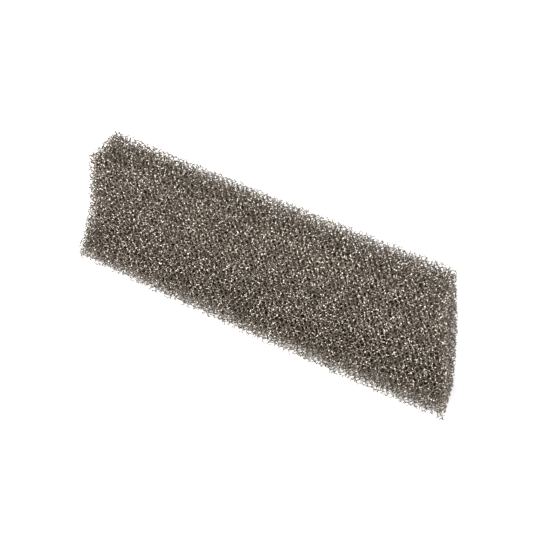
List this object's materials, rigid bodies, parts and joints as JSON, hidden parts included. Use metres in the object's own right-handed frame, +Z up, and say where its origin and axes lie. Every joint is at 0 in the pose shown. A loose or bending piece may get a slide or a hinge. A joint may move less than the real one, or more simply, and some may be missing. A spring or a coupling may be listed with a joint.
{
  "type": "filter sponge pad",
  "caption": "Rectangular block of coarse open-cell foam for filtering water, standing on its long narrow face with its foot bent slightly forward.",
  "frame": {"origin": "on the surface the pad stands on, under the middle of its bounding box", "axes": "+X along the pad towards the end with the more slanted cut, +Y towards the back, away from the side the foot bends to, +Z up"},
  "size_m": [0.1708, 0.031, 0.046],
  "materials": {
    "filter_foam": "matt open-cell polyurethane foam, dark warm grey, with slightly glossy struts"
  },
  "bodies": {
    "root": {"sponge_pad": "filter_foam"}
  },
  "joints": []
}
